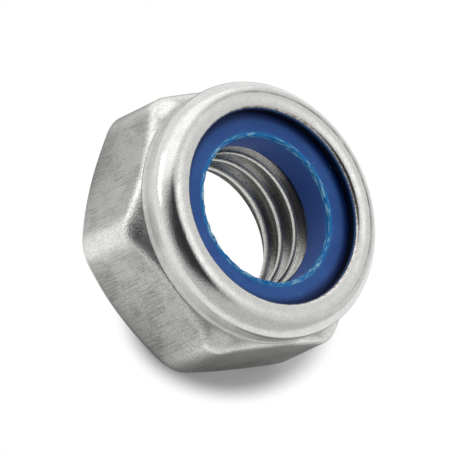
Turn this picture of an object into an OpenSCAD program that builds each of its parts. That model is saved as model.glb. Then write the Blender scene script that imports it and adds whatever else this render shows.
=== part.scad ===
// Low prevailing-torque hexagon nut with a nylon insert. One cold-formed steel
// body carries a thin collar, and the collar's rim is rolled inward over a
// plain nylon ring. The bearing face lies on z = 0 and the thread axis is +Z.
// The tapped hole is drawn as its plain minor-diameter bore.

/* [Thread] */
// Nominal thread diameter
thread_d = 10; // [9.8:0.1:10.1]
// Thread pitch
thread_pitch = 1.5; // [1.25:0.25:1.75]
// How much wider the minor diameter is than its basic size
minor_allowance = 0.2; // [0.05:0.05:0.3]
// Length of the steel from the bearing face to the seat of the insert
thread_h = 5.5; // [5:0.1:5.8]
// Mouth diameter of the countersink in the bearing face
sink_d = 10.6; // [10.2:0.1:11]
// Half angle of the countersinks
sink_angle = 45; // [40:1:60]
// Width of the break where the thread starts under the insert
lead_w = 0.2; // [0.1:0.05:0.3]

/* [Hexagon] */
// Width across the flats
across_flats = 16; // [15.9:0.05:16.4]
// Rounding of the six upright edges
corner_r = 1.8; // [1:0.1:2.2]
// Height of the shoulder where the collar rises from it
shoulder_h = 6; // [5.9:0.05:6.1]
// Slope of the chamfer on the collar end
shoulder_angle = 34; // [24:1:38]
// Diameter of the flat bearing face inside its chamfer
bearing_d = 15.8; // [15:0.1:15.9]
// Slope of the chamfer on the bearing end
bearing_angle = 34; // [24:1:38]

/* [Collar] */
// Thickness of the collar wall at its fullest point
wall_t = 1.12; // [1.08:0.02:1.14]
// How far the straight root of the collar stands inside the fullest point
root_step = 0.1; // [0.05:0.05:0.2]
// Depth of the hollow between the root and the bulge
waist_depth = 0.13; // [0.1:0.01:0.2]
// Radius of the hollow between the root and the bulge
waist_r = 0.6; // [0.5:0.05:0.65]
// Height of the middle of the hollow above the shoulder
waist_rise = 0.4; // [0.35:0.05:0.45]
// Section radius of the bulge below the rolled rim
bulge_r = 0.65; // [0.6:0.05:0.75]
// How far the middle of the bulge lies below the top of the insert
bulge_drop = 0.35; // [0.3:0.05:0.4]

/* [Rolled rim] */
// Thickness of the rim over the insert
rim_t = 0.95; // [0.9:0.05:1.05]
// Section radius of the rim's outer round
rim_r = 0.6; // [0.5:0.05:0.65]
// How far the rim reaches in over the insert
rim_reach = 0.85; // [0.75:0.05:0.95]
// Distance of that round's centre from the rim's inner edge
round_in = 1; // [0.94:0.02:1.06]
// Height of the upright face on the rim's inner edge
lip_face = 0.6; // [0.5:0.05:0.65]
// Width of the bevel between the upright face and the rim's top
land_w = 0.2; // [0.14:0.02:0.26]
// Width of the gentle slope inside the rim's flat top
slope_w = 0.4; // [0.3:0.05:0.5]
// Fall of that slope
slope_drop = 0.1; // [0.06:0.02:0.14]

/* [Insert] */
// Outside diameter of the nylon ring
insert_d = 13.7; // [13.4:0.1:13.7]
// Bore diameter of the nylon ring
insert_bore_d = 9.06; // [8.9:0.02:9.3]
// Height of the nylon ring
insert_h = 2.15; // [2.05:0.05:2.25]
// Slope left on the ring's upper outside edge by the rolled rim
crimp_w = 0.35; // [0.2:0.05:0.45]

/* [Hidden] */
$fn = 96;
eps = 0.5;
// How far a round runs past the flat or slope that continues it
seam = 0.0005;

// Thread: the basic minor diameter is the nominal one less 1.0825 pitches
minor_r = (thread_d - 1.0825 * thread_pitch + minor_allowance) / 2;
sink_r = sink_d / 2;
sink_h = (sink_r - minor_r) / tan(sink_angle);
lead_h = lead_w / tan(sink_angle);

// Hexagon
flat_r = across_flats / 2;
corner_c = (flat_r - corner_r) / cos(30);
tip_r = corner_c + corner_r;
bearing_r = bearing_d / 2;

// Insert and the pocket that it fills
pocket_r = insert_d / 2;
insert_bore_r = insert_bore_d / 2;
insert_top = thread_h + insert_h;

// Collar
collar_r = pocket_r + wall_t;
root_r = collar_r - root_step;
waist_c = [root_r - waist_depth + waist_r, shoulder_h + waist_rise];
bulge_c = [collar_r - bulge_r, insert_top - bulge_drop];

// Rolled rim
lip_r = pocket_r - rim_reach;
nut_h = insert_top + rim_t;
round_c = [lip_r + round_in, nut_h - rim_r];

// Direction square to the straight side that touches the bulge and the round
gap = norm(round_c - bulge_c);
unit = (round_c - bulge_c) / gap;
lean = (bulge_r - rim_r) / gap;
side_out = unit * lean + [unit[1], -unit[0]] * sqrt(1 - lean * lean);

// Height of a cone that falls outward by the given angle
function cone_z(start_r, start_z, slope, r) = start_z - (r - start_r) * tan(slope);

// Hexagon with rounded corners, one corner on +X
module rounded_hexagon() {
    polygon([for (k = [0:5], side = [-30, 30])
        let (turn = 60 * k)
        [corner_c * cos(turn) + corner_r * cos(turn + side),
         corner_c * sin(turn) + corner_r * sin(turn + side)]]);
    for (k = [0:5])
        rotate(60 * k)
            translate([corner_c, 0])
                circle(r = corner_r + seam);
}

// Half section that turns both ends of the hexagon to their chamfers
module turned_blank() {
    out = tip_r + eps;
    polygon([
        [0, 0],
        [bearing_r, 0],
        [out, (out - bearing_r) * tan(bearing_angle)],
        [out, cone_z(root_r, shoulder_h, shoulder_angle, out)],
        [root_r, shoulder_h],
        [0, shoulder_h]
    ]);
}

// Half section of the collar before the pocket is cut
module collar_section() {
    difference() {
        translate([0, shoulder_h - eps])
            square([root_r, bulge_c[1] - shoulder_h + eps]);
        translate(waist_c)
            circle(r = waist_r);
    }
    translate(bulge_c)
        circle(r = bulge_r);
    // Straight side from the bulge up to the rim's round
    polygon([
        bulge_c,
        bulge_c + side_out * (bulge_r - seam),
        round_c + side_out * (rim_r - seam),
        round_c
    ]);
    polygon([
        [0, bulge_c[1] - eps],
        [bulge_c[0], bulge_c[1] - eps],
        bulge_c,
        round_c,
        [lip_r, round_c[1]],
        [0, round_c[1]]
    ]);
    translate(round_c)
        circle(r = rim_r);
    // Flat top, gentle slope and bevel, down to the lip's upright face
    polygon([
        [0, insert_top - eps],
        [round_c[0], insert_top - eps],
        [round_c[0], nut_h - seam],
        [lip_r + land_w + slope_w, nut_h - seam],
        [lip_r + land_w, nut_h - slope_drop],
        [lip_r, insert_top + lip_face],
        [0, insert_top + lip_face]
    ]);
}

// Half section of the nylon ring, measured out from the given radius
module ring_section(inner_r) {
    polygon([
        [inner_r, thread_h],
        [pocket_r, thread_h],
        [pocket_r, insert_top - crimp_w],
        [pocket_r - crimp_w, insert_top],
        [inner_r, insert_top]
    ]);
}

// Everything that is taken out along the axis
module bore_section() {
    ring_section(0);
    // Plain minor-diameter bore with a countersink at each end
    polygon([
        [0, -eps],
        [sink_r + eps * tan(sink_angle), -eps],
        [minor_r, sink_h],
        [minor_r, thread_h - lead_h],
        [minor_r + lead_w, thread_h],
        [minor_r + lead_w, thread_h + eps],
        [0, thread_h + eps]
    ]);
    // Mouth inside the rolled rim
    translate([0, insert_top - eps])
        square([lip_r, nut_h - insert_top + 2 * eps]);
}

module nut_body() {
    color([0.66, 0.66, 0.64])
        difference() {
            union() {
                intersection() {
                    linear_extrude(height = shoulder_h + eps)
                        rounded_hexagon();
                    rotate_extrude()
                        turned_blank();
                }
                rotate_extrude()
                    collar_section();
            }
            rotate_extrude()
                bore_section();
        }
}

module nylon_ring() {
    color([0.17, 0.29, 0.55])
        rotate_extrude()
            ring_section(insert_bore_r);
}

nut_body();
nylon_ring();
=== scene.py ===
"""Lock nut with a nylon insert: its steel body, its nylon ring and a plain studio."""

import logging
import math
from dataclasses import dataclass, field
from enum import Enum

import bpy
import numpy as np
from mathutils import Euler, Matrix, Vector, noise


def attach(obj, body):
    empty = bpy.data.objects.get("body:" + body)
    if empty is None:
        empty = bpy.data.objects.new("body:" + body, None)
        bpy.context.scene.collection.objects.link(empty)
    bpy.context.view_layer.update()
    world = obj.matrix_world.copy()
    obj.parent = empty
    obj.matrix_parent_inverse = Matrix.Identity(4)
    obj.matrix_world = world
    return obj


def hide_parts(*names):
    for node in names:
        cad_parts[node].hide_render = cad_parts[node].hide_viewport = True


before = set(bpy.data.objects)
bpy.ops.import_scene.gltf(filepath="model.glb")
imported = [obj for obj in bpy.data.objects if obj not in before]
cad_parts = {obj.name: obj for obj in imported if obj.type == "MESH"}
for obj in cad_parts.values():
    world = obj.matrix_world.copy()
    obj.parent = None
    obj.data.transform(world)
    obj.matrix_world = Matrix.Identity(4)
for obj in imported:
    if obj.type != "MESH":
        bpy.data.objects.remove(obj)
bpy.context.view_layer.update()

LOG = logging.getLogger("lock_nut")
MM = 0.001
SIDES = 6
SMOOTH_BELOW = 40.0
Point = tuple[float, float]
Triple = tuple[float, float, float]
Colour = tuple[float, float, float, float]
Stretch = tuple[float, float, int]
Socket = bpy.types.NodeSocket


def grey(level: float, warmth: float = 0.0) -> Colour:
    """Grey of the given linear level, with its blue lowered by the warmth."""
    return (level, level, level * (1.0 - warmth), 1.0)


def soft_min(a: np.ndarray, b: np.ndarray | float, width: float) -> np.ndarray:
    """Smaller of two fields, rounded where they come within the width of each other.

    Args:
        a: First field.
        b: Second field, or one value.
        width: Difference below which the two blend.

    Returns:
        The blended field.
    """
    near = np.maximum(width - np.abs(a - b), 0.0) / width
    return np.minimum(a, b) - near * near * width / 4


def soft_max(a: np.ndarray, b: np.ndarray | float, width: float) -> np.ndarray:
    """Larger of two fields, rounded in the same way as the smaller one."""
    return -soft_min(-a, -b, width)


def uneven(points: np.ndarray, scale: float, seed: int, octaves: int = 3) -> np.ndarray:
    """Smooth unevenness of a hand-sized kind over a set of points.

    Args:
        points: Places in millimetres, one row each.
        scale: Waves in each millimetre.
        seed: Shift of the pattern, so that each use differs.
        octaves: How many finer layers are added.

    Returns:
        One value near -1 to 1 for each point.
    """
    shift = Vector((7.3 * seed, -3.1 * seed, 11.9 * seed))
    return np.array([
        noise.fractal(Vector(p) * scale + shift, 0.8, 2.1, octaves)
        for p in points.tolist()
    ])


class SectionPath:
    """Half section of a turned piece: points of radius and height, in millimetres."""

    def __init__(self, radius: float, height: float) -> None:
        """Starts the outline at one point."""
        self.points: list[Point] = [(radius, height)]
        self.marks: dict[str, tuple[int, int]] = {}

    def lines(self, *stretches: Stretch) -> None:
        """Adds straight stretches.

        Args:
            *stretches: Radius and height at the end of each, and its number of steps.
        """
        for radius, height, steps in stretches:
            r0, z0 = self.points[-1]
            for k in range(1, steps + 1):
                t = k / steps
                self.points.append((r0 + (radius - r0) * t, z0 + (height - z0) * t))

    def arc(self, centre: Point, last: float, steps: int, clockwise: bool = False) -> None:
        """Adds a round stretch from the last point.

        Args:
            centre: Centre of the arc.
            last: Direction from the centre to the arc's end, in radians.
            steps: Number of equal steps.
            clockwise: True where the arc turns clockwise, seen with radius to the right.
        """
        r0, z0 = self.points[-1]
        radius = math.hypot(r0 - centre[0], z0 - centre[1])
        first = math.atan2(z0 - centre[1], r0 - centre[0])
        if clockwise and last > first:
            last -= math.tau
        if not clockwise and last < first:
            last += math.tau
        for k in range(1, steps + 1):
            a = first + (last - first) * k / steps
            place = (centre[0] + radius * math.cos(a), centre[1] + radius * math.sin(a))
            self.points.append(place)

    def rounds(self, lean: float, *rounds: Stretch) -> None:
        """Adds rounds that follow each other without a kink.

        Args:
            lean: Rise of the outward normal where the first one starts, in degrees.
            *rounds: Radius, rise of the normal at the end, and steps of each.
        """
        for radius, end, steps in rounds:
            r0, z0 = self.points[-1]
            first = math.radians(lean)
            centre = (r0 - radius * math.cos(first), z0 - radius * math.sin(first))
            self.arc(centre, math.radians(end), steps)
            lean = end

    def mark(self, name: str) -> None:
        """Names the rows that were added since the last mark."""
        start = max((rows[1] for rows in self.marks.values()), default=0)
        self.marks[name] = (start, len(self.points))


def draw_section(name: str, path: SectionPath) -> bpy.types.Object:
    """Draws a closed half section on the XZ plane by extruding a point round its outline.

    Args:
        name: Name of the new object.
        path: The outline, in millimetres.

    Returns:
        An object whose mesh is the closed outline, with its rows numbered in an attribute.
    """
    bpy.ops.object.select_all(action="DESELECT")
    bpy.ops.mesh.primitive_plane_add(size=MM)
    obj = bpy.context.object
    obj.name = name
    obj.data.name = name
    bpy.ops.object.mode_set(mode="EDIT")
    bpy.ops.mesh.select_mode(type="VERT")
    bpy.ops.mesh.select_all(action="SELECT")
    bpy.ops.mesh.merge(type="CENTER")
    last = Vector((0.0, 0.0, 0.0))
    for number, (r, z) in enumerate(path.points):
        place = Vector((r * MM, 0.0, z * MM))
        step = {"value": tuple(place - last)}
        if number == 0:
            bpy.ops.transform.translate(**step)
        else:
            bpy.ops.mesh.extrude_vertices_move(TRANSFORM_OT_translate=step)
        last = place
    bpy.ops.mesh.select_all(action="DESELECT")
    bpy.ops.object.mode_set(mode="OBJECT")
    count = len(obj.data.vertices)
    obj.data.vertices[0].select = True
    obj.data.vertices[count - 1].select = True
    rows = obj.data.attributes.new("row", "INT", "POINT")
    rows.data.foreach_set("value", list(range(count)))
    bpy.ops.object.mode_set(mode="EDIT")
    bpy.ops.mesh.edge_face_add()
    bpy.ops.object.mode_set(mode="OBJECT")
    return obj


def spin_section(steps: int) -> None:
    """Spins the active object's outline once round the thread axis and closes the seam.

    Args:
        steps: Number of steps in the turn.
    """
    bpy.ops.object.mode_set(mode="EDIT")
    bpy.ops.mesh.select_all(action="SELECT")
    bpy.ops.mesh.spin(steps=steps, angle=math.tau, center=(0, 0, 0), axis=(0, 0, 1))
    bpy.ops.mesh.select_all(action="SELECT")
    bpy.ops.mesh.remove_doubles(threshold=0.0001 * MM)
    bpy.ops.object.mode_set(mode="OBJECT")


def close_up(angle: float) -> None:
    """Turns the active object's faces outwards and shades them smooth.

    Args:
        angle: Angle between faces below which they are smooth, in degrees.
    """
    bpy.ops.object.mode_set(mode="EDIT")
    bpy.ops.mesh.select_all(action="SELECT")
    bpy.ops.mesh.normals_make_consistent(inside=False)
    bpy.ops.mesh.select_all(action="DESELECT")
    bpy.ops.object.mode_set(mode="OBJECT")
    bpy.ops.object.shade_smooth_by_angle(angle=math.radians(angle))


class SpunMesh:
    """Points of a spun mesh as arrays in millimetres, with the section row of each."""

    def __init__(self, obj: bpy.types.Object) -> None:
        """Reads the points and their rows."""
        self.mesh = obj.data
        count = len(self.mesh.vertices)
        flat = np.empty(count * 3)
        self.mesh.vertices.foreach_get("co", flat)
        xyz = flat.reshape(-1, 3) / MM
        self.row = np.empty(count, dtype=np.int32)
        self.mesh.attributes["row"].data.foreach_get("value", self.row)
        self.r = np.hypot(xyz[:, 0], xyz[:, 1])
        self.z = xyz[:, 2].copy()
        self.turn = np.arctan2(xyz[:, 1], xyz[:, 0])

    def rows(self, marks: tuple[int, int]) -> np.ndarray:
        """True for each point that belongs to the rows between the marks."""
        return (self.row >= marks[0]) & (self.row < marks[1])

    def places(self) -> np.ndarray:
        """Points as rows of x, y and z, in millimetres."""
        east = self.r * np.cos(self.turn)
        north = self.r * np.sin(self.turn)
        return np.column_stack([east, north, self.z])

    def write(self) -> None:
        """Writes the points back, and drops the row numbers."""
        self.mesh.vertices.foreach_set("co", (self.places() * MM).ravel())
        self.mesh.attributes.remove(self.mesh.attributes["row"])
        self.mesh.update()

    def store(self, name: str, values: np.ndarray) -> None:
        """Keeps one value for each point as an attribute that a material can read."""
        layer = self.mesh.attributes.new(name, "FLOAT", "POINT")
        layer.data.foreach_set("value", values.astype(np.float32))


class Effect(Enum):
    """Patterns and marks of the finishes, each of them a shader node group."""

    FLAT_PLACES = "flat_places"
    RING_PLACES = "ring_places"
    SCRATCHES = "scratches"
    STREAKS = "thread_streaks"
    GRAIN = "grain"
    PITS = "pits"


@dataclass
class NodeSheet:
    """A node tree with short calls that add and join its nodes."""

    tree: bpy.types.NodeTree

    def add(self, kind: str, values: dict | tuple = (), **settings: object) -> bpy.types.Node:
        """Adds a node, gives it its settings and feeds its inputs.

        Args:
            kind: Type of node, without the word that all of them start with.
            values: What feeds its inputs: by name or number, or else in their order.
            **settings: Its properties by name.

        Returns:
            The new node.
        """
        node = self.tree.nodes.new("ShaderNode" + kind)
        for name, value in settings.items():
            setattr(node, name, value)
        for key, value in values.items() if isinstance(values, dict) else enumerate(values):
            self.feed(node.inputs[key], value)
        return node

    def feed(self, socket: Socket, value: object) -> None:
        """Joins a socket to an output, or sets it to a plain value.

        Args:
            socket: The input to feed.
            value: An output of another node, or the plain value.
        """
        if isinstance(value, Socket):
            self.tree.links.new(value, socket)
        else:
            socket.default_value = value

    def math(self, operation: str, *values: object, clamp: bool = False) -> Socket:
        """Adds a math node on its values and returns the result."""
        return self.add("Math", values, operation=operation, use_clamp=clamp).outputs[0]

    def times(self, first: object, *others: object) -> Socket:
        """Multiplies values.

        Args:
            first: The first value.
            *others: The values that it is multiplied by.

        Returns:
            The product.
        """
        for other in others:
            first = self.math("MULTIPLY", first, other)
        return first

    def plus(self, first: object, *others: object) -> Socket:
        """Adds values.

        Args:
            first: The first value.
            *others: The values that are added to it.

        Returns:
            The sum.
        """
        for other in others:
            first = self.math("ADD", first, other)
        return first

    def outside(self, mask: object) -> Socket:
        """Returns 1 less the mask, which covers what the mask leaves out."""
        return self.math("SUBTRACT", 1.0, mask)

    def remap(self, value: object, low: object, high: object, to_low: object = 0.0,
              to_high: object = 1.0) -> Socket:
        """Maps a stretch of values smoothly onto another.

        Args:
            value: The value to map.
            low: Start of its stretch.
            high: End of its stretch.
            to_low: What the start becomes.
            to_high: What the end becomes.

        Returns:
            The mapped value.
        """
        values = (value, low, high, to_low, to_high)
        return self.add("MapRange", values, interpolation_type="SMOOTHSTEP").outputs[0]

    def rise(self, value: object, start_mm: float, end_mm: float, full: float = 1.0) -> Socket:
        """Rises smoothly from 0 at the start to its full value at the end."""
        return self.remap(value, start_mm * MM, end_mm * MM, 0.0, full)

    def noise(self, places: object, scale: object, detail: float = 2.0,
              roughness: float = 0.5) -> Socket:
        """Adds a noise texture.

        Args:
            places: Where it is read.
            scale: Waves in each unit of the places.
            detail: How many finer layers are added.
            roughness: How strong the finer layers are.

        Returns:
            Its value, from 0 to 1.
        """
        values = {"Vector": places, "Scale": scale, "Detail": detail, "Roughness": roughness}
        return self.add("TexNoise", values, noise_dimensions="3D").outputs["Fac"]

    def vector(self, operation: str, *values: object) -> bpy.types.Node:
        """Adds a vector math node on its values and returns the node."""
        return self.add("VectorMath", values, operation=operation)

    def stretch(self, places: object, factors: object) -> Socket:
        """Multiplies places by one factor for each axis and returns the result."""
        return self.vector("MULTIPLY", places, factors).outputs[0]

    def reach(self, places: object) -> Socket:
        """Returns the distance of places from the thread axis."""
        return self.vector("LENGTH", self.stretch(places, (1.0, 1.0, 0.0))).outputs["Value"]

    def split(self, places: object) -> list[Socket]:
        """Returns the three parts of a vector."""
        return list(self.add("SeparateXYZ", (places,)).outputs)

    def join(self, x: object, y: object, z: object) -> Socket:
        """Makes a vector of three parts and returns it."""
        return self.add("CombineXYZ", (x, y, z)).outputs[0]

    def attribute(self, name: str) -> Socket:
        """Returns a value that the piece's own mesh keeps for each point."""
        return self.add("Attribute", attribute_name=name).outputs["Fac"]

    def blend(self, factor: object, first: object, second: object) -> Socket:
        """Mixes two numbers, where a factor of 1 gives the second."""
        values = {0: factor, 2: first, 3: second}
        return self.add("Mix", values, data_type="FLOAT").outputs[0]

    def mix(self, factor: object, first: object, second: object) -> Socket:
        """Mixes two colours, where a factor of 1 gives the second."""
        values = {0: factor, 6: first, 7: second}
        return self.add("Mix", values, data_type="RGBA").outputs[2]

    def paint(self, base: object, *coats: tuple[object, object]) -> Socket:
        """Lays coats of colour over a base.

        Args:
            base: The colour below them all.
            *coats: Mask and colour of each coat, from the lowest to the highest.

        Returns:
            The colour that shows.
        """
        for mask, colour in coats:
            base = self.mix(mask, base, colour)
        return base

    def bump(self, height: object, strength: float, depth_mm: float) -> Socket:
        """Makes a bumped normal of a height and returns it."""
        values = {"Strength": strength, "Distance": depth_mm * MM, "Height": height}
        return self.add("Bump", values).outputs["Normal"]

    def effect(self, kind: Effect, **values: object) -> dict[str, Socket]:
        """Places a shared effect.

        Args:
            kind: The effect.
            **values: Its inputs by name.

        Returns:
            Its outputs by name.
        """
        node = self.add("Group", values, node_tree=bpy.data.node_groups[kind.value])
        return {socket.name: socket for socket in node.outputs}


class EffectLibrary:
    """Builds the finishes' node groups once, before any material uses them."""

    def build(self) -> None:
        """Builds every group."""
        self._flat_places()
        self._ring_places()
        self._scratches()
        self._streaks()
        self._grain()
        self._pits()

    @staticmethod
    def _start(kind: Effect, outputs: str,
               **inputs: object) -> tuple[NodeSheet, dict[str, Socket], bpy.types.Node]:
        """Starts a group that takes places.

        Args:
            kind: The effect that the group is for.
            outputs: Names of its outputs in one line, where Vector stands for places.
            **inputs: First values of its other inputs by name.

        Returns:
            The sheet to draw on, its inputs by name, and its output node.
        """
        tree = bpy.data.node_groups.new(kind.value, "ShaderNodeTree")
        tree.interface.new_socket("Vector", in_out="INPUT", socket_type="NodeSocketVector")
        for name, value in inputs.items():
            socket = "NodeSocketFloat" if isinstance(value, float) else "NodeSocketVector"
            item = tree.interface.new_socket(name, in_out="INPUT", socket_type=socket)
            item.default_value = value
        for name in outputs.split():
            socket = "NodeSocketVector" if name == "Vector" else "NodeSocketFloat"
            tree.interface.new_socket(name, in_out="OUTPUT", socket_type=socket)
        given = {socket.name: socket for socket in tree.nodes.new("NodeGroupInput").outputs}
        return NodeSheet(tree), given, tree.nodes.new("NodeGroupOutput")

    def _flat_places(self) -> None:
        """Places on each flat: across the flat, along the axis, and the flat's own number."""
        sheet, given, leave = self._start(Effect.FLAT_PLACES, "Vector")
        x, y, z = sheet.split(given["Vector"])
        side = math.tau / SIDES
        turn = sheet.math("ARCTAN2", y, x)
        number = sheet.math("FLOOR", sheet.math("DIVIDE", turn, side))
        middle = sheet.times(sheet.plus(number, 0.5), side)
        off = sheet.math("SINE", sheet.math("SUBTRACT", turn, middle))
        across = sheet.times(sheet.reach(given["Vector"]), off)
        sheet.feed(leave.inputs[0], sheet.join(across, z, sheet.times(number, 0.371)))

    def _ring_places(self) -> None:
        """Places round the axis: the direction from the axis, and the place across the section."""
        sheet, given, leave = self._start(Effect.RING_PLACES, "Vector", Along=1.0)
        x, y, z = sheet.split(given["Vector"])
        reach = sheet.reach(given["Vector"])
        east = sheet.times(sheet.math("DIVIDE", x, reach), given["Along"])
        north = sheet.times(sheet.math("DIVIDE", y, reach), given["Along"])
        across = sheet.plus(z, sheet.times(reach, 0.71))
        sheet.feed(leave.inputs[0], sheet.join(east, north, across))

    def _scratches(self) -> None:
        """Fine lines along one direction, close together in some patches and few in others."""
        sheet, given, leave = self._start(
            Effect.SCRATCHES, "Mask", Stretch=(1.0, 1.0, 1.0), Patches=350.0, Low=0.5, High=0.7)
        stretched = sheet.stretch(given["Vector"], given["Stretch"])
        lines = sheet.noise(stretched, 1.0, detail=2.0, roughness=0.6)
        patches = sheet.noise(given["Vector"], given["Patches"], detail=2.0)
        shift = sheet.remap(patches, 0.35, 0.65, 0.12, -0.06)
        shifted = sheet.math("SUBTRACT", lines, shift)
        sheet.feed(leave.inputs[0], sheet.remap(shifted, given["Low"], given["High"]))

    def _streaks(self) -> None:
        """Fine lines that follow the thread's helix, as the tap leaves them."""
        sheet, given, leave = self._start(Effect.STREAKS, "Height", Pitch=0.0015, Lines=5.0)
        x, y, z = sheet.split(given["Vector"])
        turns = sheet.math("DIVIDE", z, given["Pitch"])
        wound = sheet.math("SUBTRACT", sheet.times(turns, math.tau), sheet.math("ARCTAN2", y, x))
        east = sheet.times(sheet.math("COSINE", wound), given["Lines"])
        north = sheet.times(sheet.math("SINE", wound), given["Lines"])
        places = sheet.join(east, north, sheet.times(z, 1500.0))
        sheet.feed(leave.inputs[0], sheet.noise(places, 1.0, detail=3.0, roughness=0.65))

    def _grain(self) -> None:
        """Mottled grain on two scales: a cloudy tint and a fine height."""
        sheet, given, leave = self._start(Effect.GRAIN, "Cloud Height", Scale=1000.0, Fine=5.0)
        cloud = sheet.noise(given["Vector"], given["Scale"], detail=4.0, roughness=0.6)
        closer = sheet.times(given["Scale"], given["Fine"])
        fine = sheet.noise(given["Vector"], closer, detail=3.0, roughness=0.6)
        sheet.feed(leave.inputs[0], cloud)
        sheet.feed(leave.inputs[1], fine)

    def _pits(self) -> None:
        """Small scattered pits or specks."""
        sheet, given, leave = self._start(
            Effect.PITS, "Mask", Scale=3000.0, Size=0.25, Share=0.5)
        cells = sheet.add("TexVoronoi", {"Vector": given["Vector"], "Scale": given["Scale"],
                                         "Randomness": 1.0}, feature="F1")
        dots = sheet.outside(sheet.remap(cells.outputs["Distance"], 0.0, given["Size"]))
        area = sheet.noise(given["Vector"], sheet.times(given["Scale"], 0.13), detail=1.0)
        gate = sheet.remap(area, given["Share"], sheet.plus(given["Share"], 0.1))
        sheet.feed(leave.inputs[0], sheet.times(dots, gate))


def start_sheet(owner: bpy.types.Material | bpy.types.World) -> NodeSheet:
    """Starts the nodes of a material or a world.

    Args:
        owner: The material or world.

    Returns:
        The sheet to draw them on, with nothing on it yet.
    """
    owner.use_nodes = True
    owner.node_tree.nodes.clear()
    return NodeSheet(owner.node_tree)


@dataclass(frozen=True)
class Scratches:
    """Fine lines: how they stretch, how wide their patches are and how sharply they start."""

    stretch: Triple
    patches: float
    low: float
    high: float

    def mask(self, sheet: NodeSheet, places: Socket) -> Socket:
        """Draws the lines and returns where they lie."""
        return sheet.effect(Effect.SCRATCHES, Vector=places, Stretch=self.stretch,
                            Patches=self.patches, Low=self.low, High=self.high)["Mask"]


@dataclass(frozen=True)
class Pits:
    """Scattered pits or specks: how close, how wide, and how many places go without."""

    scale: float
    size: float
    share: float

    def mask(self, sheet: NodeSheet, places: Socket) -> Socket:
        """Scatters the pits and returns where they lie."""
        return sheet.effect(Effect.PITS, Vector=places, Scale=self.scale, Size=self.size,
                            Share=self.share)["Mask"]


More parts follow.
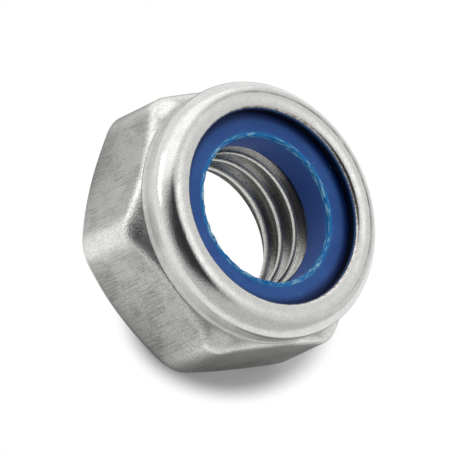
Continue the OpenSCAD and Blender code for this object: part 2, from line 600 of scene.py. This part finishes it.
@dataclass(frozen=True)
class SteelFinish:
    """Tumbled stainless steel: dull drawn flats, a bright rolled collar and a streaked thread.

    Heights and reaches from the axis are in millimetres, as a start and an end.
    """

    name: str = "tumbled_steel"
    rolled: Colour = grey(0.78, 0.025)
    formed: Colour = grey(0.49, 0.03)
    drawn: Colour = grey(0.56, 0.03)
    cut: Colour = grey(0.60, 0.07)
    burnished: Colour = grey(0.90, 0.03)
    # dark tone of scores, pits, grain and streaks, also used for the painted shade at the collar's
    # foot
    scored_and_shaded: Colour = grey(0.24, 0.06)
    # painted shade for the rim's crease
    crease_shade: Colour = grey(0.26, 0.06)
    tarnished: Colour = (0.34, 0.29, 0.23, 1.0)
    # painted shade: near-black for the lip's inner face
    shaded: Colour = grey(0.07)
    collar_z: Point = (5.9, 6.1)
    bore_r: Point = (5.55, 5.35)
    top_r: Point = (7.06, 6.94)
    waist_z: Point = (7.45, 6.75)
    root_z: Point = (6.9, 6.2)
    pitch: float = 1.5
    streak_lines: float = 6.0
    streak_range: Point = (0.38, 0.60)
    cloud_range: Point = (0.3, 0.7)
    sand_scale: float = 1500.0
    sand_fine: float = 5.5
    sand_range: Point = (0.38, 0.66)
    hatch: Scratches = Scratches((14000.0, 420.0, 3000.0), 420.0, 0.47, 0.60)
    cross: Scratches = Scratches((900.0, 13000.0, 3000.0), 500.0, 0.52, 0.66)
    rolled_lines: Scratches = Scratches((1500.0, 1500.0, 9000.0), 800.0, 0.55, 0.72)
    pits: Pits = Pits(5200.0, 0.36, 0.42)
    rolled_along: float = 0.004
    spot_scale: float = 4200.0
    spot_range: Point = (0.36, 0.66)
    # patches that break up the painted crease shade
    crease_patch_scale: float = 900.0
    crease_patch_range: Point = (0.30, 0.60)
    crease_patch_share: Point = (0.25, 1.0)
    cross_share: float = 0.5
    collar_clear: float = 0.7
    score_dim: float = 0.46
    pit_dim: float = 0.62
    cloud_dim: float = 0.10
    sand_dim: Point = (0.26, 0.14)
    # painted shade, darker towards the collar's foot
    foot_shade: float = 0.22
    streak_dim: float = 0.62
    edge_shine: float = 0.8
    collar_roughness: float = 0.15
    top_roughness: float = 0.23
    waist_roughness: float = 0.42
    shoulder_roughness: float = 0.40
    edge_roughness: float = 0.20
    edge_share: float = 0.6
    flat_roughness: float = 0.42
    thread_roughness: float = 0.25
    cloud_roughness: Point = (-0.03, 0.04)
    score_height: float = -0.5
    pit_height: float = -0.3
    line_height: float = -0.1
    sand_height: Point = (1.0, 0.24)
    streak_height: float = 0.5
    bump: float = 0.6
    bump_mm: float = 0.045

    def build(self) -> bpy.types.Material:
        """Builds the material on Object coordinates and the body's own attributes."""
        material = bpy.data.materials.new(self.name)
        sheet = start_sheet(material)
        zones = SteelZones(sheet, self)
        shader = sheet.add("BsdfPrincipled", {
            "Metallic": 1.0,
            "Base Color": self._tone(sheet, zones),
            "Roughness": self._roughness(sheet, zones),
            "Normal": sheet.bump(self._height(sheet, zones), self.bump, self.bump_mm)})
        sheet.add("OutputMaterial", {"Surface": shader.outputs[0]})
        return material

    def _dim(self, sheet: NodeSheet, zones: "SteelZones") -> Socket:
        """Adds up how much the marks and the grain darken the steel, with the painted shade at the
        collar's foot.

        Args:
            sheet: The sheet to draw on.
            zones: Masks of the steel.

        Returns:
            How dark, from 0 to 1.
        """
        sand = sheet.blend(zones.collar, *self.sand_dim)
        streaks = sheet.remap(zones.wound, *self.streak_range, self.streak_dim, 0.0)
        dim = sheet.plus(
            sheet.times(zones.scores, self.score_dim),
            sheet.times(zones.specks, self.pit_dim),
            sheet.remap(zones.cloud, *self.cloud_range, 0.0, self.cloud_dim),
            sheet.remap(zones.fine, *self.sand_range, 0.0, sand),
            # painted shade, darker towards the foot of the collar
            sheet.times(zones.collar, sheet.rise(zones.z, *self.root_z, self.foot_shade)))
        return sheet.math("ADD", dim, sheet.times(zones.bore, streaks), clamp=True)

    def _tone(self, sheet: NodeSheet, zones: "SteelZones") -> Socket:
        """Lays the tone of each zone over the rolled steel, then the marks, with painted shade at
        the collar's foot, in the rim's crease and on the lip's inner face.

        Args:
            sheet: The sheet to draw on.
            zones: Masks of the steel.

        Returns:
            The colour.
        """
        worked = sheet.math("MAXIMUM", zones.pressed, zones.edge)
        shoulder = sheet.times(sheet.outside(zones.collar), sheet.outside(worked))
        thread = sheet.mix(sheet.attribute("crest"), self.cut, self.burnished)
        spots = sheet.noise(zones.where, self.spot_scale, detail=4.0, roughness=0.7)
        spotted = sheet.times(sheet.attribute("tip"), sheet.remap(spots, *self.spot_range))
        # noise that breaks the painted crease shade into patches
        crease_patches = sheet.noise(zones.where, self.crease_patch_scale, detail=5.0, roughness=0.7)
        share = sheet.remap(crease_patches, *self.crease_patch_range, *self.crease_patch_share)
        return sheet.paint(
            self.rolled,
            (shoulder, self.formed),
            (sheet.times(zones.edge, self.edge_shine), self.burnished),
            (zones.flat, self.drawn),
            (zones.bore, thread),
            # scores, pits, grain and streaks, with the painted shade at the collar's foot
            (self._dim(sheet, zones), self.scored_and_shaded),
            # painted shade in the rim's crease, in patches
            (sheet.times(sheet.attribute("crease"), share), self.crease_shade),
            (spotted, self.tarnished),
            # painted shade on the lip's inner face
            (sheet.attribute("lip"), self.shaded))

    def _roughness(self, sheet: NodeSheet, zones: "SteelZones") -> Socket:
        """Gives each zone its roughness, a little uneven.

        Args:
            sheet: The sheet to draw on.
            zones: Masks of the steel.

        Returns:
            The roughness.
        """
        rough = self.collar_roughness
        for mask, level in (
                (sheet.rise(zones.reach, *self.top_r), self.top_roughness),
                (sheet.rise(zones.z, *self.waist_z), self.waist_roughness),
                (sheet.outside(zones.collar), self.shoulder_roughness),
                (sheet.times(zones.edge, self.edge_share), self.edge_roughness),
                (zones.flat, self.flat_roughness),
                (zones.bore, self.thread_roughness)):
            rough = sheet.blend(mask, rough, level)
        swing = sheet.remap(zones.cloud, *self.cloud_range, *self.cloud_roughness)
        return sheet.plus(rough, swing)

    def _height(self, sheet: NodeSheet, zones: "SteelZones") -> Socket:
        """Gives the marks, the grain and the streaks their height.

        Args:
            sheet: The sheet to draw on.
            zones: Masks of the steel.

        Returns:
            The height.
        """
        rings = sheet.effect(
            Effect.RING_PLACES, Vector=zones.where, Along=self.rolled_along)["Vector"]
        lined = sheet.times(self.rolled_lines.mask(sheet, rings), sheet.outside(zones.flat))
        sand = sheet.blend(zones.bore, sheet.blend(zones.collar, *self.sand_height), 0.0)
        return sheet.plus(
            sheet.times(zones.scores, self.score_height),
            sheet.times(zones.specks, self.pit_height),
            sheet.times(zones.fine, sand),
            sheet.times(lined, self.line_height),
            sheet.times(zones.wound, zones.bore, self.streak_height))


class SteelZones:
    """Where each kind of surface and each kind of mark lies on the steel body."""

    def __init__(self, sheet: NodeSheet, finish: SteelFinish) -> None:
        """Draws the masks that tone, roughness and height share.

        Args:
            sheet: The sheet to draw on.
            finish: The finish that they are drawn for.
        """
        self.where = sheet.add("TexCoord").outputs["Object"]
        self.z = sheet.split(self.where)[2]
        self.reach = sheet.reach(self.where)
        self.collar = sheet.rise(self.z, *finish.collar_z)
        self.bore = sheet.rise(self.reach, *finish.bore_r)
        self.edge = sheet.attribute("edge")
        self.pressed = sheet.attribute("drawn")
        self.flat = sheet.times(self.pressed, sheet.outside(self.edge))
        flats = sheet.effect(Effect.FLAT_PLACES, Vector=self.where)["Vector"]
        cross = sheet.times(finish.cross.mask(sheet, flats), finish.cross_share)
        lines = sheet.math("MAXIMUM", finish.hatch.mask(sheet, flats), cross)
        self.scores = sheet.times(lines, self.flat)
        clear = sheet.outside(sheet.times(self.collar, finish.collar_clear))
        self.specks = sheet.times(finish.pits.mask(sheet, self.where), clear)
        self.wound = sheet.effect(Effect.STREAKS, Vector=self.where, Pitch=finish.pitch * MM,
                                  Lines=finish.streak_lines)["Height"]
        grain = sheet.effect(Effect.GRAIN, Vector=self.where, Scale=finish.sand_scale,
                             Fine=finish.sand_fine)
        self.cloud = grain["Cloud"]
        self.fine = grain["Height"]


@dataclass(frozen=True)
class NylonFinish:
    """Satin blue nylon with a pale scraped burr round its bore, and painted shade round its outer
    edge under the lip.

    Reaches from the axis are in millimetres, as a start and an end.
    """

    name: str = "blue_nylon"
    face: Colour = (0.040, 0.138, 0.47, 1.0)
    deep: Colour = (0.030, 0.112, 0.41, 1.0)
    # painted shade under the rolled lip
    under_lip_shade: Colour = (0.0005, 0.018, 0.12, 1.0)
    bored: Colour = (0.060, 0.155, 0.52, 1.0)
    azure: Colour = (0.01, 0.22, 0.60, 1.0)
    pale: Colour = (0.36, 0.70, 0.88, 1.0)
    dust: Colour = (0.55, 0.66, 0.80, 1.0)
    under_lip_shade_r: Point = (5.4, 5.9)
    bored_r: Point = (4.62, 4.52)
    grain_scale: float = 500.0
    grain_fine: float = 14.0
    deep_range: Point = (0.35, 0.65)
    rough_range: Point = (0.3, 0.7)
    fibres: Triple = (2000.0, 2000.0, 10000.0)
    fibre_along: float = 0.0034
    torn_range: Point = (0.50, 0.60)
    torn_burr: Point = (0.30, 0.65)
    azure_burr: Point = (0.1, 0.55)
    specks: Pits = Pits(2600.0, 0.11, 0.53)
    roughness: Point = (0.34, 0.44)
    sheen: Point = (0.22, 0.08)
    grain_height: float = 0.25
    fibre_height: float = 2.0
    bump: float = 0.5
    bump_mm: float = 0.03

    def build(self) -> bpy.types.Material:
        """Builds the material on Object coordinates and the ring's own burr attribute."""
        material = bpy.data.materials.new(self.name)
        sheet = start_sheet(material)
        where = sheet.add("TexCoord").outputs["Object"]
        burr = sheet.attribute("burr")
        grain = sheet.effect(Effect.GRAIN, Vector=where, Scale=self.grain_scale,
                             Fine=self.grain_fine)
        rings = sheet.effect(Effect.RING_PLACES, Vector=where, Along=self.fibre_along)["Vector"]
        torn = sheet.noise(sheet.stretch(rings, self.fibres), 1.0, detail=3.0, roughness=0.65)
        ragged = sheet.times(sheet.remap(torn, *self.torn_range),
                             sheet.remap(burr, *self.torn_burr))
        reach = sheet.reach(where)
        bored = sheet.rise(reach, *self.bored_r)
        colour = sheet.paint(
            self.face,
            (sheet.remap(grain["Cloud"], *self.deep_range), self.deep),
            # painted shade round the outer edge, where the lip shades the nylon
            (sheet.rise(reach, *self.under_lip_shade_r), self.under_lip_shade),
            (bored, self.bored),
            (sheet.remap(burr, *self.azure_burr), self.azure),
            (ragged, self.pale),
            (self.specks.mask(sheet, where), self.dust))
        height = sheet.plus(sheet.times(grain["Height"], self.grain_height),
                            sheet.times(torn, burr, self.fibre_height))
        shader = sheet.add("BsdfPrincipled", {
            "IOR": 1.5,
            "Base Color": colour,
            "Roughness": sheet.remap(grain["Cloud"], *self.rough_range, *self.roughness),
            "Specular IOR Level": sheet.remap(bored, 0.0, 1.0, *self.sheen),
            "Normal": sheet.bump(height, self.bump, self.bump_mm)})
        sheet.add("OutputMaterial", {"Surface": shader.outputs[0]})
        return material


class TurnedPiece:
    """A piece that is spun from its own section in its own turns, then shaped and dressed."""

    def turned(self, name: str) -> bpy.types.Object:
        """Draws, spins, shapes and dresses the piece.

        Args:
            name: Name of the new object.

        Returns:
            The object.
        """
        path = self.section()
        obj = draw_section(name, path)
        spin_section(self.turns)
        spun = SpunMesh(obj)
        self.shape(spun, path)
        spun.write()
        close_up(SMOOTH_BELOW)
        obj.data.materials.append(self.finish.build())
        return obj


@dataclass
class NutBody(TurnedPiece):
    """Cold-formed steel body: hexagon, shoulder, collar, rolled rim, pocket and cut thread.

    Sizes are in millimetres. The main ones repeat those of the solid, and the collar's rounds
    are finer. Rows of the rim are counted from its first one.
    """

    finish: SteelFinish
    across_flats: float = 16.0
    corner_r: float = 1.8
    shoulder_h: float = 6.0
    shoulder_angle: float = 34.0
    bearing_r: float = 7.9
    collar_r: float = 7.97
    root_r: float = 7.87
    waist_r: float = 0.6
    waist_rise: float = 0.35
    bulge_r: float = 0.65
    bulge_drop: float = 0.27
    side_rounds: tuple[Stretch, ...] = ((0.82, 28.0, 6), (2.56, 44.0, 7), (0.62, 70.0, 7))
    top_rounds: tuple[Stretch, ...] = ((1.5, 108.0, 14), (0.27, 172.0, 10))
    lip_r: float = 6.0
    pocket_r: float = 6.85
    seat_z: float = 5.5
    insert_top: float = 7.65
    crimp_w: float = 0.35
    thread_d: float = 10.0
    pitch: float = 1.5
    minor_r: float = 4.288
    sink_r: float = 5.3
    lead_w: float = 0.2
    blank_gap: float = 0.45
    edge_soft: float = 0.8
    edge_w: float = 0.55
    drawn_w: float = 0.4
    corner_half: float = 0.05
    corner_fade: float = 0.09
    corner_in: float = 0.3
    thread_soft: float = 0.09
    thread_crest_soft: float = 0.34
    thread_room: float = 0.03
    crest_half: float = 0.21
    dent_r: float = 0.010
    dent_r_scale: float = 0.35
    dent_z: float = 0.008
    dent_z_scale: float = 0.6
    flank_angle: float = 30.0
    fold_rows: tuple[int, int] = (1, 3)
    tip_rows: tuple[int, int] = (15, 22)
    lip_rows: tuple[int, int] = (24, 29)
    fold_turn: float = 0.5
    fold_share: float = 0.2
    fold_depth: float = 0.012
    turns: int = 300
    crowd: float = 0.4
    flat_r: float = field(init=False)
    corner_c: float = field(init=False)
    blank_r: float = field(init=False)

    def __post_init__(self) -> None:
        """Works out the hexagon's own sizes."""
        self.flat_r = self.across_flats / 2
        self.corner_c = (self.flat_r - self.corner_r) / math.cos(math.pi / SIDES)
        self.blank_r = self.corner_c + self.corner_r + self.blank_gap

    def section(self) -> SectionPath:
        """Draws the half section of the round blank, from the countersink's mouth and back."""
        slope = math.tan(math.radians(self.shoulder_angle))
        low = (self.blank_r - self.bearing_r) * slope
        high = self.shoulder_h - (self.blank_r - self.collar_r) * slope
        path = SectionPath(self.sink_r, 0.0)
        path.lines((self.bearing_r - 0.1, 0.0, 6),
                   (self.bearing_r, 0.0, 1),
                   (self.blank_r, low, 14),
                   (self.blank_r, high, 12),
                   (self.collar_r, self.shoulder_h, 18))
        path.mark("hexagon")
        self._collar(path)
        path.mark("collar")
        path.rounds(self.side_rounds[-1][1], *self.top_rounds)
        path.lines((self.lip_r, self.insert_top + 0.04, 4),
                   (self.lip_r + 0.03, self.insert_top, 1))
        path.mark("rim")
        path.lines((self.pocket_r - self.crimp_w, self.insert_top, 2),
                   (self.pocket_r, self.insert_top - self.crimp_w, 2),
                   (self.pocket_r, self.seat_z, 3),
                   (self.minor_r + self.lead_w, self.seat_z, 5))
        path.mark("pocket")
        path.lines((self.minor_r, self.seat_z - self.lead_w, 8),
                   (self.minor_r, self.sink_r - self.minor_r, 150),
                   (self.sink_r, 0.0, 34))
        path.points.pop()
        path.mark("thread")
        return path

    def _collar(self, path: SectionPath) -> None:
        """Adds the root, the hollow, the bulge and the side that rolls in above it.

        Args:
            path: The outline.
        """
        waist = (self.root_r + self.waist_r, self.shoulder_h + self.waist_rise)
        bulge = (self.collar_r - self.bulge_r, self.insert_top - self.bulge_drop)
        across = math.atan2(bulge[1] - waist[1], bulge[0] - waist[0])
        leave = across + math.acos((self.waist_r + self.bulge_r) / math.dist(waist, bulge))
        land_r = bulge[0] - self.bulge_r * math.cos(leave)
        land_z = bulge[1] - self.bulge_r * math.sin(leave)
        path.lines((self.root_r, self.shoulder_h + 0.03, 2))
        path.arc(waist, leave, 8, clockwise=True)
        path.lines((land_r, land_z, 3))
        path.arc(bulge, 0.0, 6)
        path.rounds(0.0, *self.side_rounds)

    @staticmethod
    def off_corner(turn: np.ndarray) -> np.ndarray:
        """Angle from each direction to the nearest corner, in radians."""
        side = math.tau / SIDES
        return np.abs((turn + side / 2) % side - side / 2)

    def hexagon_r(self, turn: np.ndarray) -> np.ndarray:
        """Distance from the axis to the rounded hexagon in each direction.

        Args:
            turn: Directions round the axis, in radians, with a corner at zero.

        Returns:
            The distances in millimetres.
        """
        side = math.tau / SIDES
        off = self.off_corner(turn)
        flat = self.flat_r / np.cos(side / 2 - off)
        inside = np.maximum(self.corner_r ** 2 - (self.corner_c * np.sin(off)) ** 2, 0.0)
        corner = self.corner_c * np.cos(off) + np.sqrt(inside)
        joint = math.atan2(self.corner_r / 2, self.corner_c + self.corner_r * math.cos(side / 2))
        return np.where(off < joint, corner, flat)

    def off_crest(self, turn: np.ndarray, z: np.ndarray) -> np.ndarray:
        """Distance along the axis from each place to the nearest thread crest's middle."""
        phase = (z / self.pitch - turn / math.tau) % 1.0
        return np.abs(phase - 0.5) * self.pitch

    def thread_r(self, turn: np.ndarray, z: np.ndarray) -> np.ndarray:
        """Distance from the axis to the right-hand thread's surface.

        Args:
            turn: Directions round the axis, in radians.
            z: Heights in millimetres.

        Returns:
            The distances in millimetres.
        """
        basic_r = self.thread_d / 2 - 1.0825 * self.pitch / 2
        flank = math.tan(math.radians(self.flank_angle))
        half_crest = self.pitch / 8 + (self.minor_r - basic_r) * flank
        wall = self.minor_r + (self.off_crest(turn, z) - half_crest) / flank
        cut = soft_min(wall, self.thread_d / 2 + self.thread_room, self.thread_soft)
        return soft_max(cut, self.minor_r, self.thread_crest_soft)

    def shape(self, spun: SpunMesh, path: SectionPath) -> None:
        """Works the round blank into the nut and keeps what the finish reads.

        Args:
            spun: The blank's points.
            path: Its section, with the rows of each zone.
        """
        spun.turn = spun.turn - self.crowd * np.sin(SIDES * spun.turn) / SIDES
        self._press_flats(spun, spun.rows(path.marks["hexagon"]))
        self._cut_thread(spun, spun.rows(path.marks["thread"]), spun.rows(path.marks["pocket"]))
        rim, end = path.marks["rim"]
        skin = spun.rows((3, end))
        spun.r[skin] += self.dent_r * uneven(spun.places()[skin], self.dent_r_scale, 1)
        crown = spun.rows((path.marks["collar"][0], end))
        spun.z[crown] += self.dent_z * uneven(spun.places()[crown], self.dent_z_scale, 2)
        self._mark_rim(spun, rim)

    def _press_flats(self, spun: SpunMesh, zone: np.ndarray) -> None:
        """Presses the six flats into the blank, with soft edges.

        Args:
            spun: The blank's points.
            zone: Which of them belong to the hexagon's rows.
        """
        on = zone & (spun.r > self.sink_r + 0.5)
        limit = self.hexagon_r(spun.turn)
        near = np.clip(1.0 - np.abs(spun.r - limit) / self.edge_w, 0.0, 1.0)
        off = (self.off_corner(spun.turn) - self.corner_half) / self.corner_fade
        beyond = np.clip((spun.r - self.bearing_r) / self.corner_in, 0.0, 1.0)
        corner = np.clip(1.0 - off, 0.0, 1.0) * beyond
        pressed = np.clip((spun.r - limit) / self.drawn_w, 0.0, 1.0)
        spun.store("edge", np.where(on, np.maximum(near, corner), 0.0))
        spun.store("drawn", np.where(on, pressed, 0.0))
        spun.r[on] = soft_min(spun.r, limit, self.edge_soft)[on]

    def _cut_thread(self, spun: SpunMesh, cut: np.ndarray, pocket: np.ndarray) -> None:
        """Cuts the thread and its two countersinks into the bore.

        Args:
            spun: The blank's points.
            cut: Which of them belong to the bore's rows.
            pocket: Which of them belong to the pocket's rows.
        """
        sink = self.sink_r - spun.z
        lead = self.minor_r + self.lead_w - (self.seat_z - spun.z)
        bore = soft_max(self.thread_r(spun.turn, spun.z), sink, self.thread_soft)
        bore = soft_max(bore, lead, self.thread_soft)
        crest = np.clip(1.0 - self.off_crest(spun.turn, spun.z) / self.crest_half, 0.0, 1.0)
        spun.store("crest", np.where(cut, crest, 0.0))
        seat = pocket & (np.abs(spun.r - self.minor_r - self.lead_w) < 0.001)
        spun.r = np.where(cut | seat, bore, spun.r)

    def _mark_rim(self, spun: SpunMesh, rim: int) -> None:
        """Folds a faint crease into part of the rim, and marks it, the tip and the lip.

        Args:
            spun: The blank's points.
            rim: First row of the rim.
        """
        crease, tip, lip = (
            spun.rows((rim + first, rim + last)).astype(float)
            for first, last in (self.fold_rows, self.tip_rows, self.lip_rows))
        crease *= np.clip(self.fold_share - np.cos(spun.turn - self.fold_turn), 0.0, 1.0)
        spun.z -= self.fold_depth * crease
        spun.store("crease", crease)
        spun.store("tip", tip)
        spun.store("lip", lip)

    def build(self) -> bpy.types.Object:
        """Builds the finished body in place of its solid."""
        obj = self.turned("steel_body")
        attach(obj, "root")
        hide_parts("nut_body")
        return obj


@dataclass
class NylonRing(TurnedPiece):
    """Plain nylon ring held under the rolled rim, with a burr torn up round its bore.

    Sizes are in millimetres and repeat those of the solid.
    """

    finish: NylonFinish
    bore_r: float = 4.53
    outer_r: float = 6.85
    seat_z: float = 5.5
    top_z: float = 7.65
    crimp_w: float = 0.35
    burr_w: float = 0.26
    burr_h: float = 0.12
    turns: int = 600

    def section(self) -> SectionPath:
        """Draws the half section, from the lower bore edge and back to it."""
        path = SectionPath(self.bore_r, self.seat_z)
        path.lines((self.outer_r, self.seat_z, 5),
                   (self.outer_r, self.top_z - self.crimp_w, 4),
                   (self.outer_r - self.crimp_w, self.top_z, 2),
                   (self.bore_r + 2.2 * self.burr_w, self.top_z, 20))
        path.mark("face")
        path.lines((self.bore_r + 0.3 * self.burr_w, self.top_z, 12),
                   (self.bore_r, self.top_z - 0.3 * self.burr_w, 5),
                   (self.bore_r, self.top_z - 1.5 * self.burr_w, 8))
        path.mark("burr")
        path.lines((self.bore_r, self.seat_z, 24))
        path.points.pop()
        return path

    def shape(self, spun: SpunMesh, path: SectionPath) -> None:
        """Raises the burr unevenly round the bore's upper edge.

        Args:
            spun: The ring's points.
            path: Its section, with the rows of the burr.
        """
        rows = spun.rows(path.marks["burr"])
        off = np.hypot(spun.r - self.bore_r, spun.z - self.top_z)
        near = np.clip(1.0 - off / (1.7 * self.burr_w), 0.0, 1.0)
        places = spun.places()[rows]
        torn = uneven(places, 2.2, 3, 3)
        wide = uneven(places, 0.5, 4, 2)
        lift = np.clip(0.55 + 0.5 * torn + 0.35 * wide, 0.0, 1.2)
        spun.z[rows] += self.burr_h * near[rows] ** 1.5 * lift
        spun.r[rows] -= 0.25 * self.burr_h * near[rows] * (0.3 + torn)
        spun.store("burr", near)

    def build(self) -> bpy.types.Object:
        """Builds the finished ring in place of its solid."""
        obj = self.turned("nylon_insert")
        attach(obj, "root")
        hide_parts("nylon_ring")
        return obj


@dataclass
class StudioCamera:
    """Long-lens camera above the part, rolled as the photograph shows the part."""

    place: Triple = (574.164, 164.817, 727.313)
    turn: Triple = (19.6183, -34.8758, 164.078)
    lens: float = 1249.866
    shift: Point = (0.07330395, 0.04091818)

    def build(self) -> None:
        """Makes the camera and sets it as the scene's own."""
        data = bpy.data.cameras.new("camera")
        data.lens = self.lens
        data.sensor_width = 36.0
        data.shift_x, data.shift_y = self.shift
        data.clip_start = 0.05
        data.clip_end = 50.0
        camera = bpy.data.objects.new("camera", data)
        camera.location = Vector(self.place) * MM
        camera.rotation_euler = Euler([math.radians(a) for a in self.turn])
        bpy.context.scene.collection.objects.link(camera)
        bpy.context.scene.camera = camera


@dataclass(frozen=True)
class Oval:
    """An oval on the floor: its middle and half widths in millimetres, and how its edge fades."""

    middle: Point
    reach: Point
    fade: Point

    def past(self, sheet: NodeSheet, where: Socket) -> Socket:
        """Finds how far a place lies past the oval.

        Args:
            sheet: The sheet to draw on.
            where: The place on the floor.

        Returns:
            A value that goes from 0 to 1 across the fade.
        """
        middle = (self.middle[0] * MM, self.middle[1] * MM, 0.0)
        shares = (1.0 / (self.reach[0] * MM), 1.0 / (self.reach[1] * MM), 0.0)
        off = sheet.stretch(sheet.vector("SUBTRACT", where, middle).outputs[0], shares)
        return sheet.remap(sheet.vector("LENGTH", off).outputs["Value"], *self.fade)


@dataclass(frozen=True)
class SkyPatch:
    """A patch of the surround: its light, its side, and where it starts and is full."""

    light: Colour
    side: Triple
    start: float
    full: float

    def mask(self, sheet: NodeSheet, sky: Socket) -> Socket:
        """Returns how fully a direction of the surround lies in the patch."""
        facing = sheet.vector("DOT_PRODUCT", sky, tuple(Vector(self.side).normalized()))
        return sheet.remap(facing.outputs["Value"], self.start, self.full)


@dataclass
class Studio:
    """Plain white floor, one soft side lamp and a pale surround that darkens to one side."""

    floor_size: float = 6.0
    floor_gap_mm: float = 0.02
    floor_white: Colour = grey(0.85)
    # painted shade: the paper as reflections see it, darker than the camera sees it
    mirrored_paper_shade: Colour = grey(0.46)
    mirror_glow: Colour = grey(0.96)
    shadow: Oval = Oval((-1.3, 4.6), (7.0, 4.6), (0.88, 1.22))
    mirror: Oval = Oval((-3.4, 0.9), (8.5, 11.5), (1.05, 1.60))
    hole: Oval = Oval((0.0, 0.0), (5.25, 5.25), (1.0, 0.99))
    # painted light: reflections see the floor glow under the bearing face
    seat: Oval = Oval((0.0, 0.0), (7.9, 7.9), (1.0, 0.98))
    far_light: Colour = grey(0.60)
    patches: tuple[SkyPatch, ...] = (
        SkyPatch(grey(0.80), (0.0, -1.0, 0.0), -0.80, -0.05),
        SkyPatch(grey(1.30), (0.10, -0.98, 0.17), 0.55, 0.88),
        SkyPatch(grey(1.30), (-0.32, -0.12, 0.94), 0.955, 0.990),
        SkyPatch((0.040, 0.036, 0.042, 1.0), (0.60, 0.08, 0.80), 0.66, 0.90))
    lamp_place: Triple = (0.44, -0.343, 0.033)
    lamp_size: Point = (0.34, 0.07)
    lamp_power: float = 0.16

    def build(self) -> None:
        """Builds the floor, the surround and the lamp."""
        self._floor()
        self._surround()
        self._lamp()

    def _floor(self) -> None:
        """Lays the floor just under the bearing face."""
        bpy.ops.object.select_all(action="DESELECT")
        bpy.ops.mesh.primitive_plane_add(size=self.floor_size)
        floor = bpy.context.object
        floor.name = "studio_floor"
        bpy.ops.object.mode_set(mode="EDIT")
        bpy.ops.mesh.select_all(action="SELECT")
        bpy.ops.transform.translate(value=(0.0, 0.0, -self.floor_gap_mm * MM))
        bpy.ops.mesh.subdivide(number_cuts=3)
        bpy.ops.object.mode_set(mode="OBJECT")
        floor.data.materials.append(self._floor_material())

    def _floor_material(self) -> bpy.types.Material:
        """Builds white paper that stays white behind the part and keeps its shadow. In reflections
        the paper is a darker grey, which is painted shade, and it glows white under the bearing
        face, which is painted light.
        """
        material = bpy.data.materials.new("white_floor")
        sheet = start_sheet(material)
        where = sheet.add("TexCoord").outputs["Object"]
        ray = sheet.add("LightPath").outputs
        mirrored = sheet.math("MAXIMUM", ray["Is Glossy Ray"], ray["Is Transmission Ray"])
        # painted shade: reflections see the paper darker than the camera does
        white = sheet.mix(mirrored, self.floor_white, self.mirrored_paper_shade)
        paper = sheet.add("BsdfDiffuse", {"Color": white})
        bright = sheet.mix(mirrored, grey(1.0), self.mirror_glow)
        glow = sheet.add("Emission", {"Color": bright, "Strength": 1.0})
        lift = []
        for rays, outer, inner in ((ray["Is Camera Ray"], self.shadow, self.hole),
                                   (mirrored, self.mirror, self.seat)):
            bare = sheet.math("MAXIMUM", outer.past(sheet, where), inner.past(sheet, where))
            lift.append(sheet.times(rays, bare))
        both = sheet.add("MixShader", (
            sheet.math("MAXIMUM", *lift), paper.outputs[0], glow.outputs[0]))
        sided = sheet.add("MixShader", (
            sheet.add("NewGeometry").outputs["Backfacing"], both.outputs[0],
            sheet.add("BsdfTransparent").outputs[0]))
        sheet.add("OutputMaterial", {"Surface": sided.outputs[0]})
        return material

    def _surround(self) -> None:
        """Builds the surround: white behind the part, patched with light for the metal."""
        world = bpy.data.worlds.new("surround")
        sheet = start_sheet(world)
        sky = sheet.add("TexCoord").outputs["Generated"]
        coats = [(patch.mask(sheet, sky), patch.light) for patch in self.patches]
        seen = sheet.add("LightPath").outputs["Is Camera Ray"]
        tone = sheet.paint(self.far_light, *coats, (seen, grey(1.0)))
        back = sheet.add("Background", {"Color": tone})
        sheet.add("OutputWorld", {"Surface": back.outputs[0]})
        bpy.context.scene.world = world

    def _lamp(self) -> None:
        """Hangs the rectangular soft lamp, which faces the part. Its sizes are in metres."""
        data = bpy.data.lights.new("side_softbox", "AREA")
        data.shape = "RECTANGLE"
        data.size, data.size_y = self.lamp_size
        data.energy = self.lamp_power
        lamp = bpy.data.objects.new("side_softbox", data)
        lamp.location = self.lamp_place
        lamp.rotation_euler = Vector(self.lamp_place).to_track_quat("Z", "Y").to_euler()
        bpy.context.scene.collection.objects.link(lamp)


def main() -> None:
    """Builds the camera, the studio and the two pieces of the part."""
    logging.basicConfig(level=logging.INFO, format="%(name)s: %(message)s")
    bpy.context.scene.view_settings.view_transform = "Standard"
    StudioCamera().build()
    Studio().build()
    EffectLibrary().build()
    for piece in (NutBody(SteelFinish()), NylonRing(NylonFinish())):
        obj = piece.build()
        faces = sum(len(face.vertices) - 2 for face in obj.data.polygons)
        LOG.info("%s: %d triangles", obj.name, faces)


if __name__ == "__main__":
    main()
